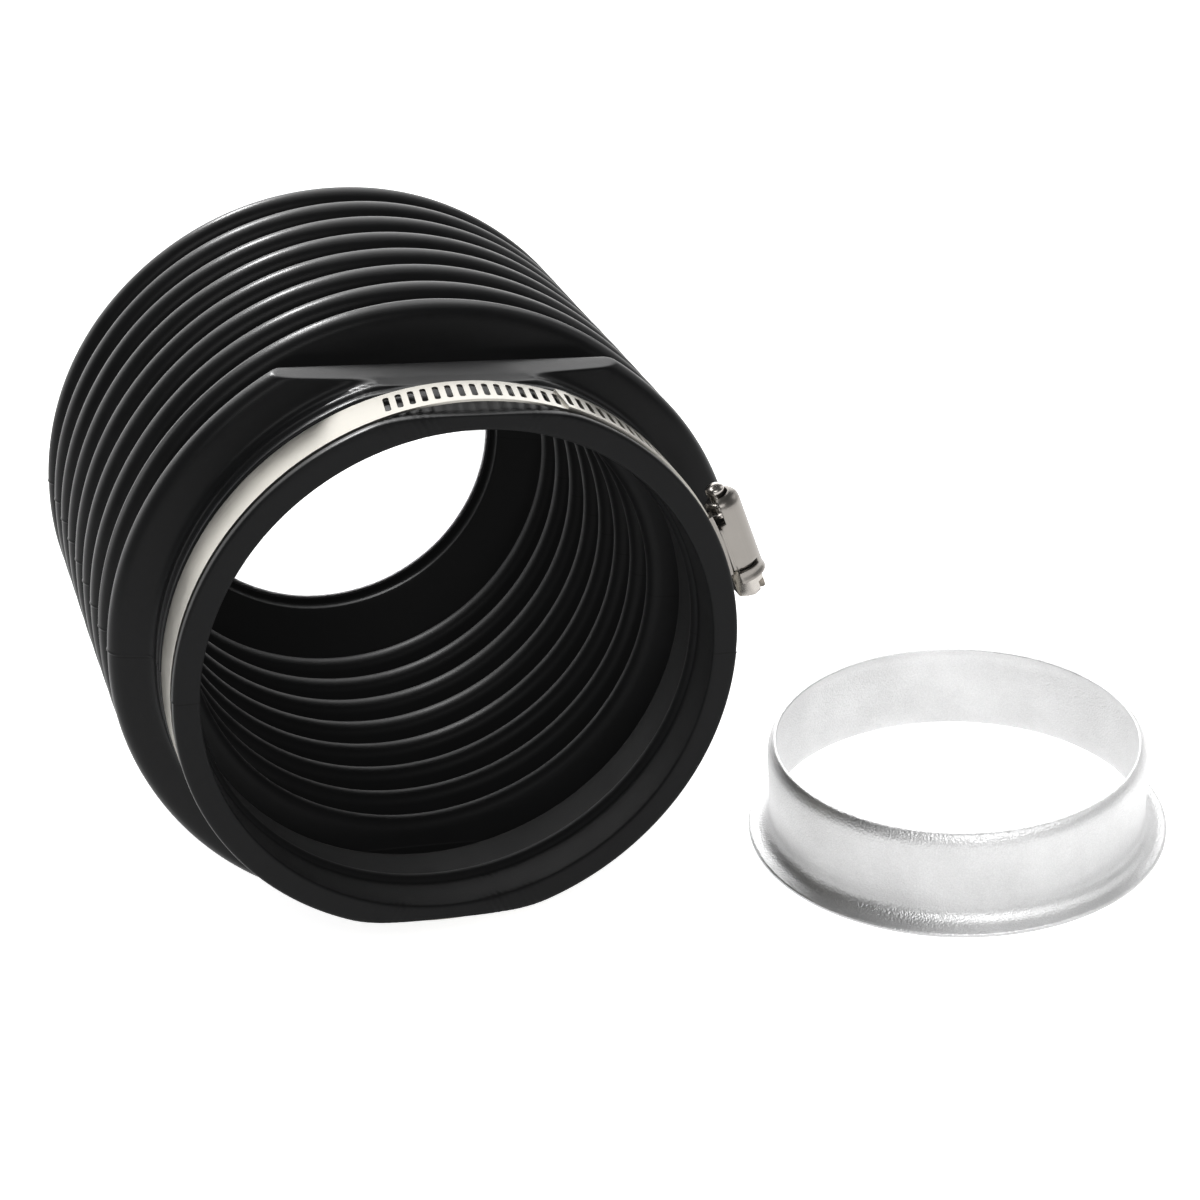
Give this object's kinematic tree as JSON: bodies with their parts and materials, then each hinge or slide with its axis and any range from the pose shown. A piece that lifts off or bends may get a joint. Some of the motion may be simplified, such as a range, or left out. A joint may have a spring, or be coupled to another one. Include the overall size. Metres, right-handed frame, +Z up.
{
  "type": "flexible bellows pipe coupling",
  "caption": "Corrugated rubber bellows coupling lying on its side, with a perforated worm-drive clamp on the front neck, a metal retaining sleeve in the rear neck and a loose one beside it.",
  "frame": {"origin": "centre of the front neck's mouth, on the bellows' axis", "axes": "+Y along the bellows' axis from the front mouth to the rear neck, +Z up, +X towards the loose sleeve"},
  "size_m": [0.2905, 0.237, 0.172],
  "materials": {
    "rubber": "satin moulded",
    "stainless": "bright rolled strip",
    "aluminium": "tumbled satin"
  },
  "bodies": {
    "rear_end": {"bellows_rear_neck": "rubber", "bellows_fold_9": "rubber"},
    "fold_8": {"bellows_fold_8": "rubber"},
    "fold_7": {"bellows_fold_7": "rubber"},
    "fold_6": {"bellows_fold_6": "rubber"},
    "fold_5": {"bellows_fold_5": "rubber"},
    "fold_4": {"bellows_fold_4": "rubber"},
    "fold_3": {"bellows_fold_3": "rubber"},
    "fold_2": {"bellows_fold_2": "rubber"},
    "front_end": {"bellows_fold_1": "rubber", "bellows_front_neck": "rubber"},
    "clamp": {"clamp_band": "stainless", "clamp_saddle": "stainless", "clamp_housing": "stainless"},
    "clamp_tail": {"clamp_band_tail": "stainless"},
    "clamp_screw": {"clamp_screw": "stainless"},
    "fitted_sleeve": {"fitted_sleeve": "aluminium"},
    "loose_sleeve": {"loose_sleeve": "aluminium"}
  },
  "joints": [
    {"name": "stretch_1", "type": "slide", "parent": "rear_end", "child": "fold_8", "axis": [0, -1, 0], "range_m": [-0.005, 0.006], "stiffness_N_per_m": 6000, "deforming": ["bellows_fold_9", "bellows_fold_8"]},
    {"name": "steer_1", "type": "hinge", "parent": "fold_8", "child": "fold_7", "pos_m": [0, 0.1253, 0], "axis": [0, 0, 1], "range_deg": [-3.5, 3.5], "stiffness_Nm_per_rad": 15, "deforming": ["bellows_fold_8", "bellows_fold_7"]},
    {"name": "tilt_1", "type": "hinge", "parent": "fold_7", "child": "fold_6", "pos_m": [0, 0.1111, 0], "axis": [-1, 0, 0], "range_deg": [-3.5, 3.5], "stiffness_Nm_per_rad": 15, "deforming": ["bellows_fold_7", "bellows_fold_6"]},
    {"name": "stretch_2", "type": "slide", "parent": "fold_6", "child": "fold_5", "axis": [0, -1, 0], "range_m": [-0.005, 0.006], "stiffness_N_per_m": 6000, "deforming": ["bellows_fold_6", "bellows_fold_5"]},
    {"name": "steer_2", "type": "hinge", "parent": "fold_5", "child": "fold_4", "pos_m": [0, 0.0827, 0], "axis": [0, 0, 1], "range_deg": [-3.5, 3.5], "stiffness_Nm_per_rad": 15, "deforming": ["bellows_fold_5", "bellows_fold_4"]},
    {"name": "tilt_2", "type": "hinge", "parent": "fold_4", "child": "fold_3", "pos_m": [0, 0.0685, 0], "axis": [-1, 0, 0], "range_deg": [-3.5, 3.5], "stiffness_Nm_per_rad": 15, "deforming": ["bellows_fold_4", "bellows_fold_3"]},
    {"name": "steer_3", "type": "hinge", "parent": "fold_3", "child": "fold_2", "pos_m": [0, 0.0543, 0], "axis": [0, 0, 1], "range_deg": [-3.5, 3.5], "stiffness_Nm_per_rad": 15, "deforming": ["bellows_fold_3", "bellows_fold_2"]},
    {"name": "tilt_3", "type": "hinge", "parent": "fold_2", "child": "front_end", "pos_m": [0, 0.0401, 0], "axis": [-1, 0, 0], "range_deg": [-3.5, 3.5], "stiffness_Nm_per_rad": 15, "deforming": ["bellows_fold_2", "bellows_fold_1"]},
    {"name": "clamp_turn", "type": "hinge", "parent": "front_end", "child": "clamp", "pos_m": [0, 0.0105, 0], "axis": [0, -1, 0], "range_deg": [-80, 170]},
    {"name": "screw_turn", "type": "hinge", "parent": "clamp", "child": "clamp_screw", "pos_m": [0.0768, 0.0105, 0.02275], "axis": [-0.284, 0, 0.9588], "range_deg": [-900, 390]},
    {"name": "tail_travel", "type": "hinge", "parent": "clamp", "child": "clamp_tail", "pos_m": [0, 0.0105, 0], "axis": [0, 1, 0], "range_deg": [-6.2, 2.7]},
    {"name": "fitted_sleeve_pull", "type": "slide", "parent": "rear_end", "child": "fitted_sleeve", "axis": [0, 1, 0], "range_m": [0, 0.035]},
    {"name": "loose_sleeve_lift", "type": "slide", "parent": "rear_end", "child": "loose_sleeve", "axis": [0, 0, 1], "range_m": [0, 0.025]}
  ],
  "couplings": [
    {"joint": "stretch_2", "follows": "stretch_1", "ratio": 1},
    {"joint": "steer_2", "follows": "steer_1", "ratio": 1},
    {"joint": "steer_3", "follows": "steer_1", "ratio": 1},
    {"joint": "tilt_2", "follows": "tilt_1", "ratio": 1},
    {"joint": "tilt_3", "follows": "tilt_1", "ratio": 1},
    {"joint": "tail_travel", "follows": "screw_turn", "ratio": 0.006715}
  ]
}
